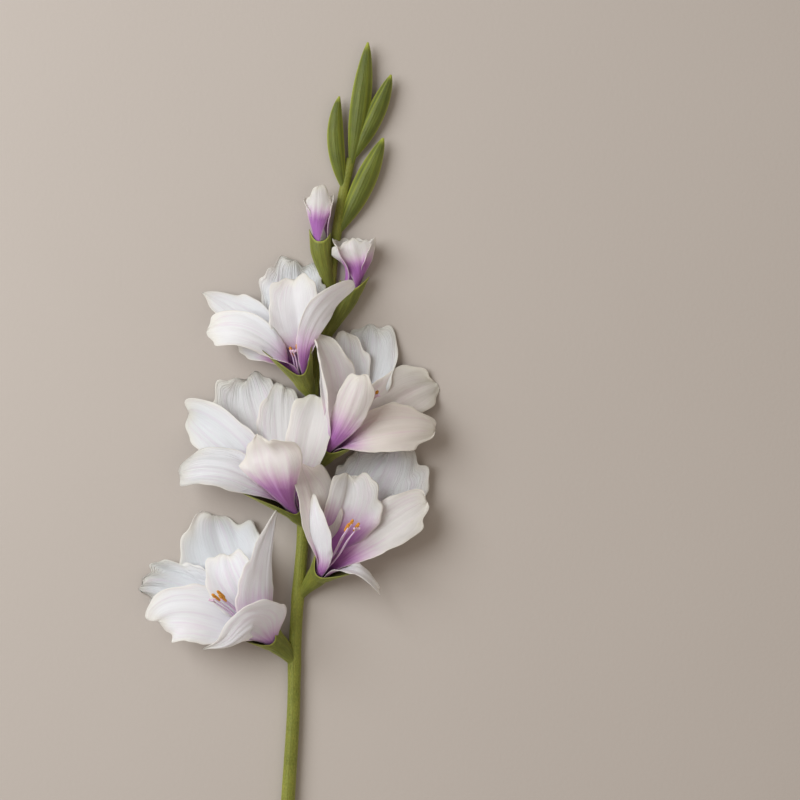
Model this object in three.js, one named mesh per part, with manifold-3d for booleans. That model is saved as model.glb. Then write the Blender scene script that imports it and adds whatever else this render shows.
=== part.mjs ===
// A cut gladiolus flower spike lying on a table. Millimetres, +Z up.
// +Y runs up the stem from the cut end to the topmost bud, and +X is to the right seen from above.
//
// One stem carries, from the bottom up, five open flowers, two opening buds and four closed buds,
// alternately left and right. Each flower has six tepals on a ring in its throat, three stamens and
// a style, and stands in a green bract cup with two pointed lobes. The stem lies on the table all
// the way, and the lowest tepals on each side of it just touch the table.
//
// Places are measured from under the centre of the cut end, and those of a flower's own parts from
// its throat. The last lines move the origin to the middle of the underside.
import * as THREE from "three";
import { mergeVertices } from "three/addons/utils/BufferGeometryUtils.js";
import Module from "manifold-3d";

const wasm = await Module();
wasm.setup();

// Driving dimensions
const FIT_GAP = 0.45; // kept between pieces that touch
const CUT_TOLERANCE = 0.05; // how closely a cut edge is followed
const STEM_SIDES = 10;
const STEM_STEPS = 32;
const RING_RADIUS = 5; // of the ring that a flower's tepals start from
const RING_HALF_ANGLE = 24; // degrees of that ring that half a tepal covers
const TUBE_REACH = 22; // how far the tepals run along the axis before they open
const TEPAL_THICK = 0.9;
const TEPAL_STEPS = 8;
const TEPAL_COLUMNS = 4;
const BRACT_WALL = 0.9;
const BRACT_INNER_RADIUS = 6; // at the throat
const BRACT_FOOT_RADIUS = 3.4; // at the stem
const BRACT_FLOOR = 3; // solid at the bottom of the cup
const BRACT_NECK = 4; // how far past the throat the cup's centreline curves
const BRACT_LOBE_TAPER = 2.2; // above 1, the lobes are pointed
const BRACT_SIDES = 12;
const BRACT_STEPS = 5;
const POD_PROFILE = [0.2, 0.52, 0.78, 0.94, 1, 0.98, 0.88, 0.7, 0.44, 0.12]; // foot to tip
const POD_SIDES = 10;
const FILAMENT_RADIUS = 0.6;
const ANTHER_RADIUS = 0.9;
const DISC_RADIUS = 2.6; // that the stamens stand on

// The stem's centreline [x, y] and its radius there; it lies on the table all the way.
const STEM = [
  { place: [-6, 0], radius: 4.7 },
  { place: [-3, 55], radius: 4.6 },
  { place: [0, 110], radius: 4.5 },
  { place: [3.6, 170], radius: 4.2 },
  { place: [4.6, 212], radius: 4.1 },
  { place: [6.6, 245], radius: 4 },
  { place: [9.2, 275], radius: 3.9 },
  { place: [11, 312], radius: 3.8 },
  { place: [13.6, 355], radius: 3.7 },
  { place: [19.5, 396], radius: 3.6 },
  { place: [26.5, 436], radius: 3.4 },
  { place: [31, 475], radius: 3.2 },
  { place: [36, 505], radius: 3 },
  { place: [41, 527], radius: 2.7 },
];

// One tepal. Its slot is its clock position on the ring in degrees, seen from the front; bow and
// tip are the midrib's last two control points; face is where its inner side looks; wide is how far
// its left and right halves reach from the midrib. cup is how far each half turns in by mid-length,
// in degrees, and flare the same at the tip; widestAt is where it is widest, as a share of length.
const tepal = (slot, bow, tip, face, wide, shape = {}) => ({
  slot,
  bow,
  tip,
  face,
  wide,
  cup: [20, 20],
  flare: [5, 5],
  widestAt: 0.62,
  pointed: false,
  ...shape,
});
const FLAT_TIP = [0, 0];

// The open flowers. A bract's foot is on the stem; notch is how far its rim stands past the throat
// between the lobes; open is how fast the cup widens; left and right are its lobes, each given as
// the length past the throat and how far the tip leans out. anthers is the middle of the anthers.
const FLOWERS = [
  {
    name: "flower_1",
    throat: [-7, 213, 10],
    axis: [-33, 27, 30],
    bract: { foot: [5, 198, 4], notch: 8, open: 0.02, left: [22, 1], right: [22, 4] },
    anthers: [-36, 31, 30],
    tepals: [
      tepal(310, [-42, 62, -12], [-41, 82, -9], [0, -3, 9], [29, 27]),
      tepal(10, [-30, 42, 20], [-32, 60, 12], [-1, -2, 9], [19, 16], { cup: [30, 30], flare: [10, 10] }),
      tepal(70, [-10, 46, 32], [1, 85, 12], [-7, 1, -7], [9, 22], {
        flare: FLAT_TIP,
        widestAt: 0.5,
        pointed: true,
      }),
      tepal(130, [0, 42, 54], [-44, -14, 26], [-3, 6, -7], [19, 25], {
        cup: [20, 30],
        widestAt: 0.55,
        pointed: true,
      }),
      tepal(190, [-60, 33, 20], [-78, 13, 12], [1, 2, 9], [19, 19]),
      tepal(250, [-66, 40, -6], [-87, 36, -9], [3, 0, 9], [20, 20]),
    ],
  },
  {
    name: "flower_2",
    throat: [20, 257, 11],
    axis: [24, 29, 38],
    bract: { foot: [7.5, 243, 4], notch: 8, open: 0.02, left: [22, 2], right: [25, 6] },
    anthers: [23, 32, 30],
    tepals: [
      tepal(340, [20, 50, 20], [20, 67, 16], [2, -2, 9], [12, 25], { flare: [5, 0] }),
      tepal(40, [47, 62, -10], [49, 84, -8], [-2, -3, 9], [28, 31]),
      tepal(100, [50, 39, 14], [70, 48, 6], [-2, 2, 9], [15, 16], { flare: FLAT_TIP }),
      tepal(160, [26, 8, 28], [42, -9, 12], [5, 7, 4], [9, 9], { flare: FLAT_TIP }),
      tepal(220, [0, 30, 34], [-4, 51, 28], [6, 2, -7], [10, 11], { cup: [15, 15] }),
      tepal(280, [1, 50, 26], [-10, 73, 22], [5, -1, 8], [13, 17], { flare: FLAT_TIP }),
    ],
  },
  {
    name: "flower_3",
    throat: [6, 298, 11],
    axis: [-23, 38, 34],
    bract: { foot: [11, 288, 4], notch: 4, open: 0.02, left: [38, 11], right: [14, 3] },
    anthers: [-9, 23, 16],
    tepals: [
      tepal(330, [-32, 68, -8], [-32, 88, -10], [1, -4, 9], [30, 21]),
      tepal(30, [-10, 62, 0], [-8, 80, -4], [-2, -3, 9], [18, 15]),
      tepal(90, [12, 50, 8], [12, 77, 4], [-3, -1, 9], [15, 16], { widestAt: 0.7 }),
      tepal(150, [-14, 20, 56], [-19, 49, 38], [1, 7, -6], [22, 23], {
        cup: [35, 35],
        flare: [10, 10],
        widestAt: 0.85,
      }),
      tepal(210, [-44, 42, 28], [-75, 25, 10], [1, 5, 8], [17, 15], { flare: FLAT_TIP, widestAt: 0.72 }),
      tepal(270, [-50, 58, 2], [-75, 64, -9], [2, -2, 9], [16, 16], { cup: [25, 25] }),
    ],
  },
  {
    name: "flower_4",
    throat: [25, 336, 10],
    axis: [25, 33, 34],
    bract: { foot: [12.5, 322, 4], notch: 8, open: 0.02, left: [18, 0], right: [24, 4] },
    anthers: [30, 37, 28],
    tepals: [
      tepal(350, [14, 58, 2], [12, 76, 0], [2, -2, 9], [16, 17]),
      tepal(50, [34, 62, -8], [28, 84, -9], [-1, -3, 9], [16, 19]),
      tepal(110, [50, 42, 4], [71, 45, -9], [-2, -1, 9], [18, 18], { flare: FLAT_TIP }),
      tepal(170, [46, 18, 28], [69, 14, 8], [0, 3, 9], [18, 14], { flare: FLAT_TIP }),
      tepal(230, [18, 30, 42], [24, 51, 32], [2, 3, -9], [12, 11], { cup: [25, 25] }),
      tepal(290, [12, 45, 20], [-6, 74, 16], [5, 0, 8], [18, 17], { cup: [90, 20], flare: [90, 5] }),
    ],
  },
  {
    name: "flower_5",
    throat: [10, 384, 10],
    axis: [-11, 39, 32],
    bract: { foot: [17, 371, 4], notch: 9, open: 0.02, left: [33, 9], right: [28, 2] },
    anthers: [-4, 17, 14],
    tepals: [
      tepal(10, [-8, 60, -6], [-6, 77, -7], [0, -3, 9], [22, 21]),
      tepal(70, [-6, 46, 20], [-4, 66, 14], [-1, -3, 9], [18, 18], { cup: [25, 25], flare: [10, 10] }),
      tepal(130, [6, 46, 42], [34, 58, 20], [-3, 6, -7], [10, 12], { flare: FLAT_TIP, widestAt: 0.76 }),
      tepal(190, [-34, 42, 26], [-63, 30, 12], [1, 3, 9], [13, 12], {
        cup: [15, 15],
        flare: FLAT_TIP,
        widestAt: 0.72,
      }),
      tepal(250, [-26, 22, 4], [-44, 24, -4], [0, 4, 9], [10, 10], { cup: [15, 15], flare: FLAT_TIP }),
      tepal(310, [-40, 47, 0], [-66, 56, -8], [1, -2, 9], [14, 13], {
        cup: [15, 15],
        flare: FLAT_TIP,
        pointed: true,
      }),
    ],
  },
];

// The two buds that have begun to open: three tepals still furled round each other
const FURLED = { cup: [50, 50], flare: [40, 40] };
const OPENING_BUDS = [
  {
    name: "bud_1",
    throat: [40, 438, 8],
    axis: [10, 40, 5],
    bract: { foot: [25, 412, 4], notch: 5, open: 0.01, left: [8, 1], right: [15, 2] },
    tepals: [
      tepal(60, [10, 26, 0], [13, 36, 0], [-8, 0, 5], [13, 13], FURLED),
      tepal(180, [3, 26, 12], [2, 35, 11], [0, 0, -9], [16, 16], { ...FURLED, widestAt: 0.75 }),
      tepal(300, [-6, 28, 0], [-9, 36, 0], [8, 0, 5], [13, 13], FURLED),
    ],
  },
  {
    name: "bud_2",
    throat: [21.5, 467, 9],
    axis: [-2, 40, 4],
    bract: { foot: [28, 440, 4], notch: 6, open: 0, left: [14, 0], right: [11, 0] },
    tepals: [
      tepal(60, [5, 26, -1], [8, 36, -1], [-8, 0, 5], [9, 9], FURLED),
      tepal(180, [0, 26, 9], [-1, 41, 8], [0, 0, -9], [9, 9], FURLED),
      tepal(300, [-6, 26, -1], [-10, 35, -1], [8, 0, 5], [9, 9], FURLED),
    ],
  },
];

// The closed buds: pods in folded bracts, from the stem's centreline through the middle to the tip
const CLOSED_BUDS = [
  { name: "closed_bud_1", at: [[34, 480, 4], [50, 512, 6], [62, 540, 7]], width: 14, depth: 9 },
  { name: "closed_bud_2", at: [[36.5, 506, 4], [31, 539, 6], [33.5, 567, 7]], width: 11, depth: 8 },
  { name: "closed_bud_3", at: [[41.5, 526, 4], [57, 556, 6], [67, 581, 7]], width: 12, depth: 8 },
  { name: "closed_bud_4", at: [[41, 522, 4], [47.5, 565, 6], [52, 602, 7]], width: 13, depth: 9 },
];

const GREEN = { color: 0x74801f, roughness: 0.5, metalness: 0 };
const WHITE = { color: 0xe9e4ea, roughness: 0.65, metalness: 0 };
const YELLOW = { color: 0xd9983a, roughness: 0.7, metalness: 0 };

const vector = (point) => new THREE.Vector3(...point);
const radians = THREE.MathUtils.degToRad;
const { lerp, smoothstep } = THREE.MathUtils;

// A closed geometry from rows of points: triangles are added between neighbouring rows.
class Shell {
  constructor() {
    this.points = [];
    this.faces = [];
  }

  add(point) {
    return this.points.push(point) - 1;
  }

  quad(a, b, c, d) {
    this.faces.push(a, b, c, a, c, d);
  }

  geometry() {
    const made = new THREE.BufferGeometry().setFromPoints(this.points);
    made.setIndex(this.faces);
    return made;
  }
}

// A solid through closed rings of points, with a cap at each end.
function ringSolid(rings) {
  const shell = new Shell();
  const rows = rings.map((ring) => ring.map((point) => shell.add(point)));
  rows.slice(1).forEach((row, i) =>
    row.forEach((point, k) => {
      const next = (k + 1) % row.length;
      shell.quad(rows[i][k], rows[i][next], row[next], point);
    }),
  );
  for (const [row, ring, turn] of [[rows[0], rings[0], 1], [rows.at(-1), rings.at(-1), -1]]) {
    const sum = ring.reduce((total, point) => total.add(point), new THREE.Vector3());
    const middle = shell.add(sum.divideScalar(ring.length));
    row.forEach((point, k) => {
      const next = row[(k + 1) % row.length];
      shell.faces.push(middle, ...(turn > 0 ? [next, point] : [point, next]));
    });
  }
  return shell.geometry();
}

// A blade of even thickness over a surface: at(u, v) gives its point and the normal there.
function bladeSolid(at, steps, columns, thick) {
  const shell = new Shell();
  const sides = [1, -1].map((side) =>
    Array.from({ length: steps + 1 }, (_, i) =>
      Array.from({ length: columns + 1 }, (_, k) => {
        const { point, normal } = at(i / steps, (2 * k) / columns - 1);
        return shell.add(point.addScaledVector(normal, (side * thick) / 2));
      }),
    ),
  );
  const [front, back] = sides;
  for (let i = 0; i < steps; i++) {
    for (let k = 0; k < columns; k++) {
      shell.quad(front[i][k], front[i][k + 1], front[i + 1][k + 1], front[i + 1][k]);
      shell.quad(back[i][k], back[i + 1][k], back[i + 1][k + 1], back[i][k + 1]);
    }
    shell.quad(front[i][0], front[i + 1][0], back[i + 1][0], back[i][0]);
    shell.quad(front[i][columns], back[i][columns], back[i + 1][columns], front[i + 1][columns]);
  }
  for (let k = 0; k < columns; k++) {
    shell.quad(front[0][k], back[0][k], back[0][k + 1], front[0][k + 1]);
    shell.quad(front[steps][k], front[steps][k + 1], back[steps][k + 1], back[steps][k]);
  }
  return shell.geometry();
}

// Two directions square to an axis: the first as near as can be to the wanted one.
function squareTo(axis, wanted) {
  const first = wanted.clone().addScaledVector(axis, -wanted.dot(axis)).normalize();
  return [first, first.clone().cross(axis)];
}

// A tepal's width along its length, as a share of the widest: narrow in the tube, and round or
// pointed at the end.
function widthShare(u, baseShare, widestAt, pointed) {
  const BLUNT = 0.985; // keeps a little width at the tip
  const [fall, bulge] = pointed ? [1.3, 1] : [2.6, 0.5];
  const grown = lerp(baseShare, 1, smoothstep(u, 0.02, widestAt));
  const past = Math.max(0, (u - widestAt) / (1 - widestAt)) * BLUNT;
  return grown * (1 - past ** fall) ** bulge;
}

// A tepal's surface in its flower's own place: u runs from the throat to the tip, v across.
function tepalSurface(flower, tepal) {
  const { slot, bow, tip, wide, cup, flare, face, widestAt, pointed } = tepal;
  const axis = vector(flower.axis).normalize();
  const [up, right] = squareTo(axis, new THREE.Vector3(0, 1, 0));
  const out = up.multiplyScalar(Math.cos(radians(slot)));
  out.addScaledVector(right, Math.sin(radians(slot)));
  const start = out.clone().multiplyScalar(RING_RADIUS);
  const midrib = new THREE.CubicBezierCurve3(
    start,
    start.clone().addScaledVector(axis, TUBE_REACH),
    vector(bow),
    vector(tip),
  );
  const baseWidth = RING_RADIUS * radians(RING_HALF_ANGLE);
  return (u, v) => {
    const along = midrib.getTangent(u);
    const looks = out.clone().negate().lerp(vector(face).normalize(), smoothstep(u, 0, 0.5));
    const [inward] = squareTo(along, looks);
    const side = along.clone().cross(inward);
    const half = v < 0 ? 0 : 1;
    const cupped = lerp(RING_HALF_ANGLE, cup[half], smoothstep(u, 0, 0.45));
    const bend = radians(lerp(cupped, flare[half], smoothstep(u, 0.45, 1))) || 1e-3;
    const width = wide[half] * widthShare(u, baseWidth / wide[half], widestAt, pointed);
    const turn = bend * v;
    const point = midrib
      .getPoint(u)
      .addScaledVector(side, (width * Math.sin(turn)) / bend)
      .addScaledVector(inward, (width * (1 - Math.cos(turn))) / bend);
    const normal = inward.multiplyScalar(Math.cos(turn));
    return { point, normal: normal.addScaledVector(side, -Math.sin(turn)) };
  };
}

// A round stalk through points on its centreline, each with its own radius.
function stalkSolid(stations, sides, steps) {
  const points = stations.map(({ at }) => at);
  const line = new THREE.CatmullRomCurve3(points, false, "centripetal");
  const rings = Array.from({ length: steps + 1 }, (_, i) => {
    const u = i / steps;
    const along = line.getTangent(u);
    const [first, second] = squareTo(along, new THREE.Vector3(0, 0, 1));
    const place = u * (stations.length - 1);
    const before = Math.min(Math.floor(place), stations.length - 2);
    const [from, to] = stations.slice(before, before + 2);
    const radius = lerp(from.radius, to.radius, place - before);
    return ringOf(line.getPoint(u), first, second, radius, radius, sides);
  });
  return ringSolid(rings);
}

// A closed ring of points round a centre, wound the way that faces a solid outwards.
function ringOf(centre, first, second, radiusA, radiusB, sides) {
  return Array.from({ length: sides }, (_, k) => {
    const turn = (2 * Math.PI * k) / sides;
    return centre
      .clone()
      .addScaledVector(first, radiusA * Math.cos(turn))
      .addScaledVector(second, -radiusB * Math.sin(turn));
  });
}

// A pod: a flattened spindle along a curve.
function podSolid({ at, width, depth }) {
  const line = new THREE.QuadraticBezierCurve3(...at.map(vector));
  line.v1.multiplyScalar(2).addScaledVector(line.v0, -0.5).addScaledVector(line.v2, -0.5);
  const rings = POD_PROFILE.map((share, i) => {
    const u = i / (POD_PROFILE.length - 1);
    const [first, second] = squareTo(line.getTangent(u), new THREE.Vector3(0, 0, 1));
    const [tall, wide] = [depth, width].map((size) => (size / 2) * share);
    return ringOf(line.getPoint(u), first, second, tall, wide, POD_SIDES);
  });
  return ringSolid(rings);
}

// A bract cup: it grows from the stem round the throat and ends in a left and a right lobe, each
// given as its length past the throat and how far its tip leans out. Between them the rim dips to
// the notch, towards the viewer and away from them.
function bractSolid({ throat, axis, bract }) {
  const axisLine = vector(axis).normalize();
  const centre = vector(throat);
  const line = new THREE.QuadraticBezierCurve3(
    vector(bract.foot),
    centre.clone().addScaledVector(axisLine, -1.5 * BRACT_NECK),
    centre.clone().addScaledVector(axisLine, BRACT_NECK),
  );
  const [front] = squareTo(axisLine, new THREE.Vector3(0, 0, 1));
  const footLength = line.getLength() - BRACT_NECK;
  const wallAt = (turn, share, radiusChange, floor) => {
    const [length, lean] = Math.sin(turn) > 0 ? bract.right : bract.left;
    const sideways = Math.abs(Math.sin(turn));
    const rim = lerp(bract.notch, length, sideways ** BRACT_LOBE_TAPER);
    const reach = lerp(-footLength + floor, rim, share);
    const t = Math.min(1, (reach + footLength) / (footLength + BRACT_NECK));
    const past = Math.max(0, reach - BRACT_NECK);
    const middle = line.getPoint(t).addScaledVector(axisLine, past);
    const swell = smoothstep(reach, -footLength, 0);
    const widest = BRACT_INNER_RADIUS + BRACT_WALL;
    const radius = lerp(BRACT_FOOT_RADIUS, widest, swell) + radiusChange;
    const open = 1 + bract.open * Math.max(0, reach);
    const leaned = (lean * Math.max(0, reach) * sideways) / length;
    const [ringFront, ringLeft] = squareTo(line.getTangent(t), front);
    return middle
      .addScaledVector(ringFront, Math.cos(turn) * radius * open)
      .addScaledVector(ringLeft, -Math.sin(turn) * (radius * open + leaned));
  };
  const turns = Array.from({ length: BRACT_SIDES }, (_, k) => (2 * Math.PI * k) / BRACT_SIDES);
  const outer = Array.from({ length: BRACT_STEPS + 1 }, (_, i) =>
    turns.map((turn) => wallAt(turn, i / BRACT_STEPS, 0, 0)),
  );
  const inner = Array.from({ length: BRACT_STEPS + 1 }, (_, i) =>
    turns.map((turn) => wallAt(turn, 1 - i / BRACT_STEPS, -BRACT_WALL, footLength - BRACT_FLOOR)),
  );
  return ringSolid([...outer, ...inner]);
}

// Solids from geometries, for the cuts and joins, and back.
const joined = (geometry) => mergeVertices(new THREE.BufferGeometry().copy(geometry), 1e-4);

function solidOf(geometry) {
  const { attributes, index } = joined(geometry);
  return new wasm.Manifold(
    new wasm.Mesh({
      numProp: 3,
      vertProperties: attributes.position.array,
      triVerts: new Uint32Array(index.array),
    }),
  );
}

function geometryOf(solid) {
  const { vertProperties, triVerts } = solid.getMesh();
  return new THREE.BufferGeometry()
    .setAttribute("position", new THREE.BufferAttribute(new Float32Array(vertProperties), 3))
    .setIndex(new THREE.BufferAttribute(new Uint32Array(triVerts), 1));
}

// The same piece with every corner moved outwards.
function grown(geometry, by) {
  const wider = joined(geometry);
  wider.computeVertexNormals();
  const { position, normal } = wider.attributes;
  for (let i = 0; i < position.count; i++) {
    const out = new THREE.Vector3().fromBufferAttribute(normal, i);
    const corner = new THREE.Vector3().fromBufferAttribute(position, i);
    position.setXYZ(i, ...corner.addScaledVector(out, by).toArray());
  }
  wider.deleteAttribute("normal");
  return wider;
}

// The biggest of the pieces that a cut leaves.
function largest(solid) {
  const parts = solid.simplify(CUT_TOLERANCE).decompose();
  return parts.reduce((best, piece) => (piece.volume() > best.volume() ? piece : best));
}

// Three stamens and a style that stand on one small disc in the throat.
function stamensSolid(flower) {
  const axis = vector(flower.axis).normalize();
  const reach = vector(flower.anthers);
  const [up, right] = squareTo(axis, new THREE.Vector3(0, 1, 0));
  const discEnds = [axis.clone().negate(), axis].map((at) => ({ at, radius: DISC_RADIUS }));
  const disc = stalkSolid(discEnds, 8, 1);
  const STALKS = [[-3.5, 0], [0, 2.5], [3.5, 0], [0, -3]]; // heads, across and up; the style is last
  const FOOT_SPREAD = 0.4; // of the heads' spread
  const whole = STALKS.reduce((sum, [across, rise], i) => {
    const foot = right.clone().multiplyScalar(across).addScaledVector(up, rise);
    foot.multiplyScalar(FOOT_SPREAD);
    const head = reach.clone().addScaledVector(right, across).addScaledVector(up, rise);
    const bent = foot.clone().lerp(head, 0.5).addScaledVector(up, -2);
    const neck = foot.clone().lerp(head, 0.8);
    const isStyle = i === STALKS.length - 1;
    const neckRadius = isStyle ? FILAMENT_RADIUS : ANTHER_RADIUS;
    const radii = [FILAMENT_RADIUS, FILAMENT_RADIUS, neckRadius, ANTHER_RADIUS];
    const stations = [foot, bent, neck, head].map((at, k) => ({ at, radius: radii[k] }));
    return sum.add(solidOf(stalkSolid(stations, 5, 5)));
  }, solidOf(disc));
  return geometryOf(whole);
}

// Every piece, those that stay whole first: a later one is cut back where an earlier one passes.
// Tepals come highest first, so that a lower one makes way for one that lies over it.
const stations = STEM.map(({ place, radius }) => ({ at: vector([...place, radius]), radius }));
const pieces = [{ name: "stem", finish: GREEN, geometry: stalkSolid(stations, STEM_SIDES, STEM_STEPS) }];
for (const flower of FLOWERS) {
  const geometry = stamensSolid(flower).translate(...flower.throat);
  pieces.push({ name: `${flower.name}_stamens`, finish: YELLOW, geometry });
}
const tepals = [...FLOWERS, ...OPENING_BUDS].flatMap((flower) =>
  flower.tepals.map((tepal, i) => ({
    name: `${flower.name}_tepal_${i + 1}`,
    finish: WHITE,
    height: flower.throat[2] + tepal.bow[2],
    geometry: bladeSolid(
      tepalSurface(flower, tepal),
      TEPAL_STEPS,
      TEPAL_COLUMNS,
      TEPAL_THICK,
    ).translate(...flower.throat),
  })),
);
pieces.push(...tepals.sort((a, b) => b.height - a.height));
for (const bud of CLOSED_BUDS) {
  pieces.push({ name: bud.name, finish: GREEN, geometry: podSolid(bud) });
}
for (const flower of [...FLOWERS, ...OPENING_BUDS]) {
  pieces.push({ name: `${flower.name}_bract`, finish: GREEN, geometry: bractSolid(flower) });
}

const spike = new THREE.Group();
const taken = [];
for (const { name, finish, geometry } of pieces) {
  const free = taken.reduce((left, other) => left.subtract(other), solidOf(geometry));
  const mesh = new THREE.Mesh(geometryOf(largest(free)), new THREE.MeshStandardMaterial(finish));
  mesh.name = name;
  spike.add(mesh);
  // The grown shape can fold into itself at a sharp edge, so the plain one is kept clear as well.
  taken.push(solidOf(grown(geometry, FIT_GAP)).add(solidOf(geometry)));
}

// The origin goes to the middle of the underside, which lies on the table.
const box = new THREE.Box3().setFromObject(spike, true);
const middle = box.getCenter(new THREE.Vector3());
spike.position.set(-middle.x, -middle.y, -box.min.z);

export default spike;
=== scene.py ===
import math
from types import SimpleNamespace

import bpy
import numpy as np
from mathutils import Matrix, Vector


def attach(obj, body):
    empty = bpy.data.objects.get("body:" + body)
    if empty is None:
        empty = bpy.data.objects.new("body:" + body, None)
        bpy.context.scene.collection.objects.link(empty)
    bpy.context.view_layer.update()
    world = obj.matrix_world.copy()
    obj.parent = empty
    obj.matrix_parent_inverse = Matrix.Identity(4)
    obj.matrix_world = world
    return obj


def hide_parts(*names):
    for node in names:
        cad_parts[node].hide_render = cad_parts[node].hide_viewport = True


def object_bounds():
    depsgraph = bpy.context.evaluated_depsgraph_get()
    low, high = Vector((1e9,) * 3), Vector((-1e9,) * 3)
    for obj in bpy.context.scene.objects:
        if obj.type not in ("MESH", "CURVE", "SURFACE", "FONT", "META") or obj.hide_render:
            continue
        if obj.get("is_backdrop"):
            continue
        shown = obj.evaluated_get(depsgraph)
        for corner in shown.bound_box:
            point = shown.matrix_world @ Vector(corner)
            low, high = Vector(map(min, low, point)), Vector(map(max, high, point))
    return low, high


MM = 0.001
UP = np.array([0.0, 0.0, 1.0])
UP_THE_STEM = np.array([0.0, 1.0, 0.0])

# The same driving dimensions as the CAD solids
RING_RADIUS = 5
RING_HALF_ANGLE = 24
TUBE_REACH = 22
BRACT_RADIUS = 6.9
CUT_END = (-6, 0, 4.7)

# The finer surfaces
TEPAL_THICK = 0.45
TEPAL_STEPS = 64
TEPAL_COLUMNS = 40
THIN_MARGIN = 0.6  # the share of its thickness that a tepal or a bract's rim loses
FAN_CENTRE = 0.35  # where along a blade its veins and waves fan out from
NOTCH_DEPTH = 0.044  # of the margin's unevenness, as a share of the blade
FOLD_RATIO = 36  # a half's width to the height of its folds
GROOVE_RATIO = 40  # a half's width to the depth of the groove along the midrib
PHASE_STEP = 2.4  # between one tepal's waves and the next one's
LEAST_HEIGHT = 0.3  # of a tepal's middle over the table
TABLE_SOFTNESS = 0.5  # how gently a tepal eases onto the table
GREEN_CLEARANCE = 0.1  # of a bract or a bud over the table

BRACT_SIDES = 72
BRACT_STEPS = 36
BRACT_THICK = 0.7
BRACT_NECK = 4
BRACT_FOOT_RADIUS = 3.4
BRACT_FLOOR = 3
LOBE_TAPER = 2.6

STEM_SIDES = 40
STEM_STEPS = 360
STEM_CLEARANCE = 0.05
RIBS = 7
JOINT_REACH = 7  # how far the stem's swelling at a joint runs along it

POD_SIDES = 56
POD_STEPS = 72
POD_PROFILE = [0.2, 0.52, 0.78, 0.94, 1, 0.98, 0.88, 0.7, 0.46, 0.1]

# Each stamen's head, across and up from the anthers' middle; the last is the style's.
STALKS = [(-3.5, 0), (0, 2.5), (3.5, 0), (0, -3)]

# The stem's centreline (x, y) and its radius there; it lies on the table all the way.
STEM = [
    (-6, 0, 4.7), (-3, 55, 4.6), (0, 110, 4.5), (3.6, 170, 4.2), (4.6, 212, 4.1),
    (6.6, 245, 4), (9.2, 275, 3.9), (11, 312, 3.8), (13.6, 355, 3.7), (19.5, 396, 3.6),
    (26.5, 436, 3.4), (31, 475, 3.2), (36, 505, 3), (41, 527, 2.7),
]


def tepal(slot, bow, tip, face, wide, cup=(20, 20), flare=(5, 5), widest_at=0.62, pointed=False,
          blush=0.42, cream=0.15, ruffle=2, waves=5, pleats=0.2, curl=0):
    """One tepal. slot is its clock position on the throat's ring in degrees; bow and tip are the
    midrib's last two control points; face is where its inner side looks; wide is how far its left
    and right halves reach; cup and flare are how far each half turns in by mid-length and at the
    tip. blush is how far up it the lilac reaches, and the setting after it how much painted shade,
    a warm grey-beige for tepals that lie in shade, is laid over it, from 0 to 1. ruffle is the height
    of the margin's waves, one number or one for each half; waves is how many there are; pleats is how
    strong the fine ones are, from 0 to 1; and curl is how far the tip rolls towards the face, in
    degrees."""
    return SimpleNamespace(**locals())


def cup_of(foot, notch, left, right, open=0.02):
    """A bract cup: its foot on the stem, how far the rim stands past the throat in the notch, and
    each lobe's length past the throat and how far its tip leans out."""
    return SimpleNamespace(**locals())


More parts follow.
